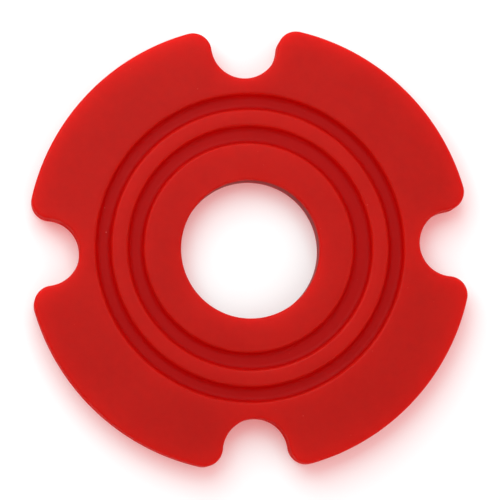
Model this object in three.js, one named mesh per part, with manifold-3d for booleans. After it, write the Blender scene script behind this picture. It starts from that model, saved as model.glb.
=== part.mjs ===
// A flat moulded rubber disc that grips a watch case by friction while its back is opened.
// It has a plain hole through the middle, two grooves in its top face and round-ended notches in its rim.
// Millimetres, +Z up. The origin is the centre of the flat underside.
import * as THREE from "three";
import { mergeVertices } from "three/addons/utils/BufferGeometryUtils.js";
import Module from "manifold-3d";

// The disc
const discDiameter = 60;
const discThickness = 4.5;
const edgeRadius = 0.35; // the round on every edge of the outline and the hole

// The hole, which the mould's pin leaves a little off centre
const holeDiameter = 18.6;
const holeShift = new THREE.Vector2(0, -0.2);

// The lands and grooves of the top face, counted outwards from the hole
const innerLandWidth = 4.8;
const innerLandShift = new THREE.Vector2(-0.2, 0); // the inner land's outer wall is off centre too
const innerGrooveWidth = 2.3; // from wall to wall, below the rounded lips
const ridgeWidth = 2.25;
const outerGrooveWidth = 2.05;

// The section of both grooves
const grooveDepth = 1.2;
const grooveFloorRadius = 0.75; // the round between a groove's wall and its floor
const grooveLipRadius = 0.4; // the round between a groove's wall and the top face

// The notches in the rim
const notchCount = 4;
const notchRadius = 4.5;
const notchWeb = 2.15; // rubber left between a notch's floor and the outer groove
const lobeRadius = 2.5; // the round where a notch meets the rim

// How finely curves are divided
const ringSegments = 72;
const rimStep = THREE.MathUtils.degToRad(4);
const notchStep = THREE.MathUtils.degToRad(12);
const roundSegments = 2;

// The most that a groove's floor round takes of its wall's height, or of half the groove's width
const floorRoundShare = 0.95;

const rubberColour = 0xc4221e;

// Sizes that follow from those above
const rimRadius = discDiameter / 2;
const holeRadius = holeDiameter / 2;
const innerLandRadius = holeRadius + innerLandWidth;
const ridgeInnerRadius = innerLandRadius + innerGrooveWidth;
const ridgeOuterRadius = ridgeInnerRadius + ridgeWidth;
const rimLandRadius = ridgeOuterRadius + outerGrooveWidth;
const notchCentre = rimLandRadius + notchWeb + notchRadius;
const grooveFloor = discThickness - grooveDepth;
const wallHeight = grooveDepth - grooveLipRadius;
const narrowGroove = Math.min(innerGrooveWidth, outerGrooveWidth);
const floorRound = Math.min(grooveFloorRadius, floorRoundShare * Math.min(wallHeight, narrowGroove / 2));

const wasm = await Module();
wasm.setup();

// A closed geometry as a solid that can be cut.
function solidOf(geometry) {
  geometry.deleteAttribute("normal");
  geometry.deleteAttribute("uv");
  const merged = mergeVertices(geometry, 1e-4);
  return new wasm.Manifold(
    new wasm.Mesh({
      numProp: 3,
      vertProperties: merged.attributes.position.array,
      triVerts: new Uint32Array(merged.index.array),
    }),
  );
}

// A solid as a geometry for a mesh.
function geometryOf(solid) {
  const { vertProperties, triVerts } = solid.getMesh();
  const geometry = new THREE.BufferGeometry();
  geometry.setAttribute("position", new THREE.BufferAttribute(vertProperties, 3));
  geometry.setIndex(new THREE.BufferAttribute(triVerts, 1));
  geometry.computeVertexNormals();
  return geometry;
}

// Points along an arc from one angle to another, both ends included.
function arc(centre, radius, from, to, count) {
  return Array.from({ length: count + 1 }, (_, i) => {
    const angle = THREE.MathUtils.lerp(from, to, i / count);
    return new THREE.Vector2(Math.cos(angle), Math.sin(angle)).multiplyScalar(radius).add(centre);
  });
}

// An arc divided into steps of about the given angle.
function steppedArc(centre, radius, from, to, step) {
  return arc(centre, radius, from, to, Math.ceil(Math.abs(to - from) / step));
}

// The centre of the lobe's round on the +Y side of a notch that opens along +X. The round touches the rim
// from inside, and the notch's straight side, or its round end where the notch is too shallow for a side.
function lobeCentre() {
  const reach = rimRadius - lobeRadius;
  const beside = notchRadius + lobeRadius;
  const besideSide = Math.sqrt(reach ** 2 - beside ** 2);
  if (besideSide >= notchCentre) return new THREE.Vector2(besideSide, beside);
  const besideEnd = (reach ** 2 - beside ** 2 + notchCentre ** 2) / (2 * notchCentre);
  return new THREE.Vector2(besideEnd, Math.sqrt(reach ** 2 - besideEnd ** 2));
}

// The outline for one notch that opens along +X, with the rim as far as halfway to its neighbours.
function notchOutline() {
  const axis = new THREE.Vector2(0, 0);
  const notch = new THREE.Vector2(notchCentre, 0);
  const lobe = lobeCentre();
  const lowerLobe = new THREE.Vector2(lobe.x, -lobe.y);
  const halfway = Math.PI / notchCount;
  const rimEnd = lobe.angle();
  const meet = Math.atan2(lobe.y, Math.max(0, notchCentre - lobe.x)); // where a lobe's round gives way
  return [
    ...steppedArc(axis, rimRadius, -halfway, -rimEnd, rimStep),
    ...steppedArc(lowerLobe, lobeRadius, -rimEnd, meet, notchStep),
    ...steppedArc(notch, notchRadius, meet - Math.PI, -meet - Math.PI, notchStep),
    ...steppedArc(lobe, lobeRadius, -meet, rimEnd, notchStep),
    ...steppedArc(axis, rimRadius, rimEnd, halfway, rimStep),
  ];
}

// The disc's whole outline, counter-clockwise, with no point twice.
function discOutline() {
  const points = Array.from({ length: notchCount }, (_, i) => {
    const turn = (2 * Math.PI * i) / notchCount;
    return notchOutline().map((point) => point.rotateAround(new THREE.Vector2(0, 0), turn));
  }).flat();
  return points.filter((point, i) => point.distanceTo(points[(i + 1) % points.length]) > 1e-6);
}

// The disc before its grooves are cut, with its hole and its rounded edges.
function blank() {
  const shape = new THREE.Shape(discOutline());
  shape.holes.push(new THREE.Path(arc(holeShift, holeRadius, 0, -2 * Math.PI, ringSegments).slice(1)));
  const geometry = new THREE.ExtrudeGeometry(shape, {
    depth: discThickness - 2 * edgeRadius,
    bevelThickness: edgeRadius,
    bevelSize: edgeRadius,
    bevelOffset: -edgeRadius,
    bevelSegments: roundSegments,
  });
  return solidOf(geometry.translate(0, 0, edgeRadius));
}

// A solid of revolution about +Z from a profile of (radius, height) points that starts and ends on the axis.
function turned(profile) {
  return solidOf(new THREE.LatheGeometry(profile, ringSegments).rotateX(Math.PI / 2));
}

// The side of a groove as a round pocket or a round island. The outward sign is 1 where the wall is the
// groove's outer one and -1 where it is the inner one, because the rounds lean the other way there.
function grooveSide(radius, outward, below, above) {
  const floorCentre = new THREE.Vector2(radius - outward * floorRound, grooveFloor + floorRound);
  const lipCentre = new THREE.Vector2(radius + outward * grooveLipRadius, discThickness - grooveLipRadius);
  const wall = outward > 0 ? 0 : -Math.PI;
  return [
    new THREE.Vector2(0, below),
    new THREE.Vector2(floorCentre.x, below),
    ...arc(floorCentre, floorRound, -Math.PI / 2, wall, roundSegments),
    ...arc(lipCentre, grooveLipRadius, outward > 0 ? Math.PI : 0, Math.PI / 2, roundSegments),
    new THREE.Vector2(lipCentre.x, above),
    new THREE.Vector2(0, above),
  ];
}

// What is cut away for a groove: a pocket as wide as its outer wall, less the island that stands in it.
function groove(innerRadius, outerRadius, innerShift = new THREE.Vector2(0, 0)) {
  const pocket = turned(grooveSide(outerRadius, 1, grooveFloor, discThickness + 1));
  const island = turned(grooveSide(innerRadius, -1, grooveFloor - 1, discThickness + 2));
  return pocket.subtract(island.translate(innerShift.x, innerShift.y, 0));
}

// The finished disc.
function frictionDisc() {
  const solid = blank()
    .subtract(groove(innerLandRadius, ridgeInnerRadius, innerLandShift))
    .subtract(groove(ridgeOuterRadius, rimLandRadius));
  const rubber = new THREE.MeshStandardMaterial({ color: rubberColour, roughness: 0.5, metalness: 0 });
  const disc = new THREE.Mesh(geometryOf(solid), rubber);
  disc.name = "friction_disc";
  return disc;
}

const part = new THREE.Group();
part.add(frictionDisc());

export default part;
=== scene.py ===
import math

import bpy
from mathutils import Matrix, Vector


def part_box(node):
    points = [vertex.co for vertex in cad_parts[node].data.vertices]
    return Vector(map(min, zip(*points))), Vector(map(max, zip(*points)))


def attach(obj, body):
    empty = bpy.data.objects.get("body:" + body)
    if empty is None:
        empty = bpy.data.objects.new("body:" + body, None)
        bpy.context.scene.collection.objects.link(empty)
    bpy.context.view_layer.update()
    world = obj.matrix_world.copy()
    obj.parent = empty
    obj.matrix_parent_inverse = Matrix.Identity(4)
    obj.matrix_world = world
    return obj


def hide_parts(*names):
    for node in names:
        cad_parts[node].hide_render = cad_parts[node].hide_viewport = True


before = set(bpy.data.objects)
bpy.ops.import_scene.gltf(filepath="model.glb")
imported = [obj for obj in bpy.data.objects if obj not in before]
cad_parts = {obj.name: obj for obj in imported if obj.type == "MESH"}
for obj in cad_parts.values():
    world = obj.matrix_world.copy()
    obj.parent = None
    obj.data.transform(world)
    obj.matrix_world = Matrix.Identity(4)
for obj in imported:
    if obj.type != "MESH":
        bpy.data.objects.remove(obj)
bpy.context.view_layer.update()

discLow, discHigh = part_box("friction_disc")
topHeight = discHigh[2]
quarters = 4  # one for each notch
quarterTurn = math.tau / quarters

camera = {
    "distance": 0.45,  # metres from the middle of the grooved face
    "lean": 6.7,  # degrees off straight down
    "leanTowards": 225,  # the side it stands on, degrees from +X
    "roll": -1.7,  # degrees it is turned about its own line of sight
    "seenWidth": 0.0669,  # metres of the grooved face from side to side of the frame
    "aim": (-0.0001, -0.00035),
    "sensorWidth": 36.0,
    "nearest": 0.01,  # metres, and nothing closer is drawn
}


def placeCamera(setup):
    lean, towards, roll = (math.radians(setup[name]) for name in ("lean", "leanTowards", "roll"))
    side = math.sin(lean)
    back = Vector((side * math.cos(towards), side * math.sin(towards), math.cos(lean)))
    right = Vector((-math.sin(roll), math.cos(roll), 0)).cross(back).normalized()
    turn = Matrix((right, back.cross(right), back)).transposed().to_4x4()
    aim = Vector((*setup["aim"], topHeight))
    bpy.ops.object.camera_add()
    seer = bpy.context.object
    seer.name = "benchCamera"
    seer.matrix_world = Matrix.Translation(aim + back * setup["distance"]) @ turn
    seer.data.sensor_width = setup["sensorWidth"]
    seer.data.lens = setup["sensorWidth"] * setup["distance"] / setup["seenWidth"]
    seer.data.clip_start = setup["nearest"]
    bpy.context.scene.camera = seer


def deselectAll():
    if bpy.context.object and bpy.context.object.mode != "OBJECT":
        bpy.ops.object.mode_set(mode="OBJECT")
    bpy.ops.object.select_all(action="DESELECT")


deselectAll()
placeCamera(camera)
print("camera placed")


lights = {
    "skyColour": (1.0, 1.0, 1.0),
    "skyStrength": 0.70,
    "aim": (0, 0, 0),
    "boxes": [  # name, degrees from +X, degrees above the bench, distance, width, watts
        ("keyBox", 114, 55, 0.27, 0.26, 0.69),
        ("rightFill", 330, 55, 0.80, 0.90, 0.9),
    ],
}


def placeLights(setup):
    for name, azimuth, height, distance, width, watts in setup["boxes"]:
        around, above = math.radians(azimuth), math.radians(height)
        level = math.cos(above)
        away = Vector((level * math.cos(around), level * math.sin(around), math.sin(above)))
        bpy.ops.object.light_add(type="AREA", location=Vector(setup["aim"]) + away * distance)
        lamp = bpy.context.object
        lamp.name = name
        lamp.rotation_euler = away.to_track_quat("Z", "Y").to_euler()
        lamp.data.shape = "SQUARE"
        lamp.data.size = width
        lamp.data.energy = watts
    world = bpy.context.scene.world or bpy.data.worlds.new("paleRoom")
    bpy.context.scene.world = world
    world.use_nodes = True
    sky = world.node_tree.nodes["Background"]
    sky.inputs["Color"].default_value = (*setup["skyColour"], 1)
    sky.inputs["Strength"].default_value = setup["skyStrength"]
    bpy.context.scene.view_settings.view_transform = "Standard"
    bpy.context.scene.view_settings.look = "None"


deselectAll()
placeLights(lights)
print("lights placed")


class Wire:  # a node's output that takes part in sums
    def __init__(self, bench, socket):
        self.bench = bench
        self.socket = socket

    def sum(self, operation, first, second):
        return self.bench.node("ShaderNodeMath", {"operation": operation}, {0: first, 1: second})

    def __add__(self, other):
        return self.sum("ADD", self, other)

    def __sub__(self, other):
        return self.sum("SUBTRACT", self, other)

    def __rsub__(self, other):
        return self.sum("SUBTRACT", other, self)

    def __mul__(self, other):
        return self.sum("MULTIPLY", self, other)

    __radd__ = __add__
    __rmul__ = __mul__


class ShaderBench:  # a new material and the one way to add nodes to it
    def __init__(self, name):
        self.material = bpy.data.materials.new(name)
        self.material.use_nodes = True
        self.tree = self.material.node_tree
        self.surface = self.tree.nodes["Principled BSDF"]

    def fill(self, node, values):
        for name, value in values.items():
            if isinstance(value, Wire):
                self.tree.links.new(value.socket, node.inputs[name])
            else:
                node.inputs[name].default_value = value

    def node(self, kind, settings, values, output=0):
        made = self.tree.nodes.new(kind)
        for name, value in settings.items():
            setattr(made, name, value)
        self.fill(made, values)
        return Wire(self, made.outputs[output])

    def noise(self, place, scale, detail=2, roughness=0.5):
        values = {"Vector": place, "Scale": scale, "Detail": detail, "Roughness": roughness}
        return self.node("ShaderNodeTexNoise", {}, values)

    def step(self, value, start, end):  # 0 at start, 1 at end and smooth between, whichever is the larger
        values = {"Value": value, "From Min": start, "From Max": end}
        return self.node("ShaderNodeMapRange", {"interpolation_type": "SMOOTHSTEP"}, values)

    def blend(self, mask, below, above):  # between two colours
        return self.node("ShaderNodeMix", {"data_type": "RGBA"}, {0: mask, 6: below, 7: above}, output=2)

    def specks(self, place, spacing, radius, share):  # round specks, one in each of a share of the cells
        solidCore = 0.4  # of a speck's radius
        fullCells = 0.8  # of the cells with a speck, where it shows in full
        settings = {"feature": "F1"}
        values = {"Vector": place, "Scale": 1 / spacing}
        near = self.node("ShaderNodeTexVoronoi", settings, values)
        tint = self.node("ShaderNodeTexVoronoi", settings, values, output=1)
        chance = self.node("ShaderNodeSeparateColor", {}, {"Color": tint})
        chosen = self.step(chance, 1 - share, 1 - share * fullCells)
        return chosen * (1 - self.step(near, solidCore * radius / spacing, radius / spacing))


rubber = {
    "red": (0.40, 0.0054, 0.0026, 1),
    "deepRed": (0.365, 0.0042, 0.0019, 1),
    # painted shade: a darker, deeper red put in the grooves below their lips, standing in for the shade
    # there
    "grooveShadeRed": (0.38, 0.0006, 0.0003, 1),
    # painted shade: a much darker red for the hole's wall, standing in for its shade
    "holeWallShadeRed": (0.15, 0.0030, 0.0020, 1),
    "paleDust": (0.62, 0.20, 0.17, 1),
    "landRoughness": 0.50,
    "grooveRoughness": 0.55,
    "wallRoughness": 0.90,  # round the outline
    "holeRoughness": 0.50,
    "roughnessSpread": 0.16,
    "dustRoughness": 0.2,  # added where there is dust
    "specular": 0.11,
    "refraction": 1.42,
    "scatter": 1.0,
    "scatterRadius": (1.0, 0.06, 0.04),
    "scatterScale": 0.012,
    "letsThrough": (0.85, 0.012, 0.008, 1),  # the share of a lamp's light that passes each face
}

grain = {
    "clouds": (95, 4, 0.6),  # the scale in turns per metre, the detail and the roughness of each pattern
    "mottle": (900, 3, 0.6),
    "fine": (9000, 3, 0.65),
    "waves": (260, 2),
    "cloudShade": 0.6,  # how much of the two reds' pattern is clouds, and how much is mottle
    "mottleShade": 0.4,
    "shadeRange": (0.36, 0.64),
    "largeSpecks": (0.0016, 0.00013, 0.10),  # spacing, radius and the share of cells with a speck
    "smallSpecks": (0.0007, 0.00006, 0.10),
    "smallStrength": 0.6,
    "dustRange": (0.42, 0.62),  # of the clouds, where dust starts and is full
    "dustColour": 0.6,
    "fineBump": 0.5,
    "mottleBump": 0.9,
    "waveBump": 2.0,
    "dustBump": 1.2,
    "bumpStrength": 0.5,
    "bumpDepth": 0.000012,
}

zones = {
    "lipDrop": (0.1, 2),  # lip rounds below the top face, where the land's look ends and the next, with the painted groove shade, is full
    "holeReach": (0.002, 0.003),  # metres beyond the hole's radius, where its look, with the painted wall shade, ends and the rest is full
    "grooveReach": (0.001, 0.0006),  # metres beyond the grooves, where their look, with the painted groove shade, starts and is full
    "wallDrop": 1.6,  # edge rounds below the top face, where the painted shade on the hole's wall starts
    "wallFade": 2,  # edge rounds over which it comes in
}


def rubberFinish(look, texture, parts, sizes):
    bench = ShaderBench("redRubber")
    place = bench.node("ShaderNodeTexCoord", {}, {}, output=3)
    height = bench.node("ShaderNodeSeparateXYZ", {}, {"Vector": place}, output=2)
    landEnd, lowerStart = (topHeight - drop * sizes["grooveLipRound"] for drop in parts["lipDrop"])
    belowLand = bench.step(height, landEnd, lowerStart)
    fromAxis = bench.node("ShaderNodeVectorMath", {"operation": "LENGTH"}, {0: place}, output="Value")
    holeEnd, restStart = (sizes["holeRadius"] + reach for reach in parts["holeReach"])
    outOfHole = bench.step(fromAxis, holeEnd, restStart)
    wallTop = topHeight - parts["wallDrop"] * sizes["edgeRound"]
    # mask of the painted shade on the hole's wall, inside the hole and below its top round
    shadedHoleWall = (1 - outOfHole) * bench.step(height, wallTop, wallTop - parts["wallFade"] * sizes["edgeRound"])
    grooveStart, grooveFull = (sizes["rimLandRadius"] + reach for reach in parts["grooveReach"])
    nearGrooves = outOfHole * bench.step(fromAxis, grooveStart, grooveFull)
    clouds = bench.noise(place, *texture["clouds"])
    mottle = bench.noise(place, *texture["mottle"])
    fine = bench.noise(place, *texture["fine"])
    waves = bench.noise(place, *texture["waves"])
    reds = clouds * texture["cloudShade"] + mottle * texture["mottleShade"]
    shade = bench.step(reds, *texture["shadeRange"])
    smallDust = bench.specks(place, *texture["smallSpecks"]) * texture["smallStrength"]
    dust = bench.specks(place, *texture["largeSpecks"]) + smallDust
    dusty = dust * bench.step(clouds, *texture["dustRange"])
    colour = bench.blend(shade, look["deepRed"], look["red"])
    # painted shade: the grooves, below their lips, take the darker groove red
    colour = bench.blend(nearGrooves * belowLand, colour, look["grooveShadeRed"])
    # painted shade: the hole's wall takes the much darker hole red
    colour = bench.blend(shadedHoleWall, colour, look["holeWallShadeRed"])
    colour = bench.blend(dusty * texture["dustColour"], colour, look["paleDust"])
    lower = look["wallRoughness"] + nearGrooves * (look["grooveRoughness"] - look["wallRoughness"])
    polish = look["landRoughness"] + belowLand * (lower - look["landRoughness"])
    polish = polish + shadedHoleWall * (look["holeRoughness"] - look["wallRoughness"])
    rough = polish + (mottle - 0.5) * look["roughnessSpread"] + dusty * look["dustRoughness"]
    bumps = fine * texture["fineBump"] + mottle * texture["mottleBump"] + waves * texture["waveBump"]
    bumps = bumps + dusty * texture["dustBump"]
    bumpValues = {"Strength": texture["bumpStrength"], "Distance": texture["bumpDepth"], "Height": bumps}
    bench.fill(bench.surface, {
        "Base Color": colour,
        "Roughness": rough,
        "Normal": bench.node("ShaderNodeBump", {}, bumpValues),
        "IOR": look["refraction"],
        "Specular IOR Level": look["specular"],
        "Subsurface Weight": look["scatter"],
        "Subsurface Radius": look["scatterRadius"],
        "Subsurface Scale": look["scatterScale"],
    })
    # lamps shine through the rubber, so that its shadows are red
    clear = bench.node("ShaderNodeBsdfTransparent", {}, {"Color": look["letsThrough"]})
    fromLamp = bench.node("ShaderNodeLightPath", {}, {}, output="Is Shadow Ray")
    solid = Wire(bench, bench.surface.outputs["BSDF"])
    shown = bench.node("ShaderNodeMixShader", {}, {0: fromLamp, 1: solid, 2: clear})
    bench.fill(bench.tree.nodes["Material Output"], {"Surface": shown})
    return bench.material


disc = {
    "rimRadius": 0.029997,  # a hair under the CAD model's, whose facets cut its corners
    "edgeRound": 0.00035,  # on the outline and the hole, at both faces
    "edgeSegments": 5,
    "holeRadius": 0.0093,
    "holeCentre": (0, -0.0002, 0),
    "innerLandRadius": 0.0141,
    "innerLandCentre": (-0.0002, 0, 0),
    "ridgeInnerRadius": 0.0164,
    "ridgeOuterRadius": 0.01865,
    "rimLandRadius": 0.0207,
    "grooveDepth": 0.0012,
    "grooveFloorRound": 0.00075,
    "floorSegments": 10,
    "grooveLipRound": 0.0004,
    "lipSegments": 8,
    "notchRadius": 0.0045,
    "notchCentre": 0.02735,
    "lobeRound": 0.0025,
    "shoulder": 0.0008,  # how far in from the outline, and out from the rings and hole, a second loop lies
    "lift": 0.010,  # loops are bridged at different heights, because level ones can be joined crosswise
    "rimSteps": 46,  # on each side of a notch
    "lobeSteps": 17,
    "notchSteps": 34,
    "smoothUnder": 40,  # degrees between faces
    "near": 1e-5,  # metres, within which a point is on a ring or a face
    "mergeGap": 1e-6,  # metres, within which two points become one
    "upright": 0.1,  # a wall's normal has less than this of it along +Z
    "startWidth": 0.001,  # of the plane that is merged to the outline's first point
}


def startPicking(kind):  # nothing is selected, and code can pick points, edges or faces
    bpy.ops.mesh.select_mode(type=kind)
    bpy.ops.mesh.select_all(action="DESELECT")
    bpy.ops.object.mode_set(mode="OBJECT")


def openLoops(piece, wanted):  # selects the edges with one face or none whose points are all wanted
    bpy.ops.mesh.select_mode(type="EDGE")
    bpy.ops.mesh.select_all(action="DESELECT")
    bpy.ops.mesh.select_non_manifold(use_non_contiguous=False, use_verts=False)
    bpy.ops.object.mode_set(mode="OBJECT")
    points = piece.data.vertices
    for edge in piece.data.edges:
        edge.select = edge.select and all(wanted(points[i].co) for i in edge.vertices)
    for point in points:
        point.select = False
    bpy.ops.object.mode_set(mode="EDIT")


def ringWall(drop):  # extrudes the selected loop straight up or down
    bpy.ops.mesh.extrude_edges_move(TRANSFORM_OT_translate={"value": (0, 0, drop)})


def ringFlat(radius, newRadius, centre=(0, 0, 0), shift=(0, 0, 0)):  # extrudes it sideways to another radius
    bpy.ops.mesh.extrude_edges_move(TRANSFORM_OT_translate={"value": (0, 0, 0)})
    scale = newRadius / radius
    bpy.ops.transform.resize(value=(scale, scale, 1), center_override=centre)
    bpy.ops.transform.translate(value=shift)


def turnRings(sizes):  # from just outside the grooves inwards, down through the hole and out under it
    steps = quarters * (2 * sizes["rimSteps"] + 2 * sizes["lobeSteps"] + sizes["notchSteps"])
    depth = sizes["grooveDepth"]
    innerLand, hole = Vector(sizes["innerLandCentre"]), Vector(sizes["holeCentre"])
    start = sizes["rimLandRadius"] + sizes["shoulder"]
    bpy.ops.mesh.primitive_circle_add(vertices=steps, radius=start, enter_editmode=True)
    piece = bpy.context.object
    bpy.ops.transform.rotate(value=quarterTurn / 2, orient_axis="Z", center_override=(0, 0, 0))
    bpy.ops.transform.translate(value=(0, 0, topHeight))
    ringFlat(start, sizes["rimLandRadius"])
    ringWall(-depth)
    ringFlat(sizes["rimLandRadius"], sizes["ridgeOuterRadius"])
    ringWall(depth)
    ringFlat(sizes["ridgeOuterRadius"], sizes["ridgeInnerRadius"])
    ringWall(-depth)
    ringFlat(sizes["ridgeInnerRadius"], sizes["innerLandRadius"], shift=innerLand)
    ringWall(depth)
    ringFlat(sizes["innerLandRadius"], sizes["holeRadius"], innerLand, hole - innerLand)
    ringWall(-topHeight)
    ringFlat(sizes["holeRadius"], sizes["holeRadius"] + sizes["shoulder"], hole)
    return piece


def flatten(piece, wanted, height):  # brings the wanted points to one height
    startPicking("VERT")
    for point in piece.data.vertices:
        point.select = wanted(point.co)
    bpy.ops.object.mode_set(mode="EDIT")
    bpy.ops.transform.resize(value=(1, 1, 0), center_override=(0, 0, height))


def spinOutline(sizes, inset, height):  # one point, spun about the centre of each arc in turn
    reach = sizes["rimRadius"] - sizes["lobeRound"]
    beside = sizes["notchRadius"] + sizes["lobeRound"]
    notchX = sizes["notchCentre"]
    lobeX = (reach**2 - beside**2 + notchX**2) / (2 * notchX)
    lobeY = math.sqrt(reach**2 - lobeX**2)
    lobeAngle = math.atan2(lobeY, lobeX)
    meeting = math.atan2(lobeY, notchX - lobeX)  # where a lobe's round gives way to the notch's
    rimArc = ((0, 0), quarterTurn / 2 - lobeAngle, sizes["rimSteps"])
    arcs = [
        rimArc,
        ((lobeX, -lobeY), lobeAngle + meeting, sizes["lobeSteps"]),
        ((notchX, 0), -2 * meeting, sizes["notchSteps"]),
        ((lobeX, lobeY), lobeAngle + meeting, sizes["lobeSteps"]),
        rimArc,
    ]
    start = (sizes["rimRadius"] - inset) * math.sqrt(0.5)  # halfway between two notches
    bpy.ops.mesh.select_mode(type="VERT")
    bpy.ops.mesh.primitive_plane_add(size=sizes["startWidth"], location=(0, 0, 0))
    bpy.ops.mesh.merge(type="CENTER")
    bpy.ops.transform.translate(value=(start, -start, height))
    for quarter in range(quarters):
        quarterMatrix = Matrix.Rotation(quarter * quarterTurn, 3, "Z")
        for centre, angle, steps in arcs:
            pivot = quarterMatrix @ Vector((*centre, 0))
            bpy.ops.mesh.spin(steps=steps, angle=-angle, center=pivot, axis=(0, 0, 1))  # plus is clockwise
    bpy.ops.mesh.select_all(action="SELECT")
    bpy.ops.mesh.remove_doubles(threshold=sizes["mergeGap"])


def roundSelected(radius, segments):
    bpy.ops.mesh.bevel(
        offset=radius, offset_type="OFFSET", segments=segments, affect="EDGES", clamp_overlap=False
    )


def roundLoops(piece, radius, segments, wanted):  # bevels the edges whose points are all wanted
    startPicking("EDGE")
    points = piece.data.vertices
    for edge in piece.data.edges:
        edge.select = all(wanted(points[i].co) for i in edge.vertices)
    bpy.ops.object.mode_set(mode="EDIT")
    roundSelected(radius, segments)


def roundWallEnds(piece, sizes, wanted):  # bevels both ends of the upright wall that is wanted
    startPicking("FACE")
    for face in piece.data.polygons:
        face.select = abs(face.normal.z) < sizes["upright"] and wanted(face.center)
    bpy.ops.object.mode_set(mode="EDIT")
    bpy.ops.mesh.region_to_loop()
    roundSelected(sizes["edgeRound"], sizes["edgeSegments"])


def mouldDisc(sizes):
    near = sizes["near"]
    grooveFloor = topHeight - sizes["grooveDepth"]
    hole, innerLand = Vector(sizes["holeCentre"]), Vector(sizes["innerLandCentre"])
    axis = Vector((0, 0, 0))
    beyondGrooves = (sizes["rimLandRadius"] + sizes["notchCentre"] - sizes["notchRadius"]) / 2

    def isRing(point, radius, centre=axis):
        return abs((point - centre).xy.length - radius) < near

    def isTop(point):
        return abs(point.z - topHeight) < near

    def isGrooveFloor(point):
        return abs(point.z - grooveFloor) < near

    def isUnder(point):
        return abs(point.z) < near

    def isOutline(point):
        return point.xy.length > beyondGrooves

    piece = turnRings(sizes)
    spinOutline(sizes, sizes["shoulder"], topHeight)
    openLoops(piece, isTop)
    bpy.ops.mesh.fill()
    spinOutline(sizes, 0, topHeight + sizes["lift"])
    openLoops(piece, isOutline)
    bpy.ops.mesh.bridge_edge_loops()
    flatten(piece, lambda p: p.z > topHeight + near, topHeight)
    openLoops(piece, isOutline)
    ringWall(-topHeight)
    spinOutline(sizes, sizes["shoulder"], -sizes["lift"])
    openLoops(piece, isOutline)
    bpy.ops.mesh.bridge_edge_loops()
    flatten(piece, lambda p: p.z < -near, 0)
    openLoops(piece, isUnder)
    bpy.ops.mesh.fill()
    bpy.ops.mesh.select_all(action="SELECT")
    bpy.ops.mesh.normals_make_consistent(inside=False)

    grooveWalls = [
        (sizes["rimLandRadius"], axis),
        (sizes["ridgeOuterRadius"], axis),
        (sizes["ridgeInnerRadius"], axis),
        (sizes["innerLandRadius"], innerLand),
    ]
    for radius, centre in grooveWalls:
        lip, floorRound = sizes["grooveLipRound"], sizes["grooveFloorRound"]
        onTop = lambda p: isTop(p) and isRing(p, radius, centre)
        roundLoops(piece, lip, sizes["lipSegments"], onTop)
        onFloor = lambda p: isGrooveFloor(p) and isRing(p, radius, centre)
        roundLoops(piece, floorRound, sizes["floorSegments"], onFloor)
    roundWallEnds(piece, sizes, lambda p: isRing(p, sizes["holeRadius"], hole))
    roundWallEnds(piece, sizes, isOutline)
    deselectAll()
    piece.select_set(True)
    bpy.ops.object.shade_smooth_by_angle(angle=math.radians(sizes["smoothUnder"]))
    modifier = piece.modifiers.new("evenFaces", "WEIGHTED_NORMAL")
    modifier.keep_sharp = True
    bpy.ops.object.modifier_apply(modifier=modifier.name)
    return piece


deselectAll()
frictionDisc = mouldDisc(disc)
frictionDisc.name = "rubberDisc"
frictionDisc.data.name = "rubberDisc"
frictionDisc.data.materials.append(rubberFinish(rubber, grain, zones, disc))
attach(frictionDisc, "root")
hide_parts("friction_disc")
print("disc moulded:", len(frictionDisc.data.polygons), "faces")


floor = {
    "width": 4.0,
    "gap": 0.00005,  # below the disc, so that the two faces don't share a plane
    "colour": (0.86, 0.86, 0.86, 1),
    "darker": 0.99,  # the other tone's share of that colour
    "toneScale": 6,
    "roughness": 0.7,
    "specular": 0.2,
}


def layFloor(look):
    bpy.ops.mesh.primitive_plane_add(size=look["width"], location=(0, 0, discLow[2] - look["gap"]))
    sheet = bpy.context.object
    sheet.name = "paleFloor"
    bench = ShaderBench("palePaint")
    place = bench.node("ShaderNodeTexCoord", {}, {}, output=3)
    tone = bench.noise(place, look["toneScale"])
    darker = [channel * look["darker"] for channel in look["colour"][:3]] + [1]
    bench.fill(bench.surface, {
        "Base Color": bench.blend(tone, look["colour"], darker),
        "Roughness": look["roughness"],
        "Specular IOR Level": look["specular"],
    })
    sheet.data.materials.append(bench.material)
    return sheet


deselectAll()
layFloor(floor)
print("floor laid")
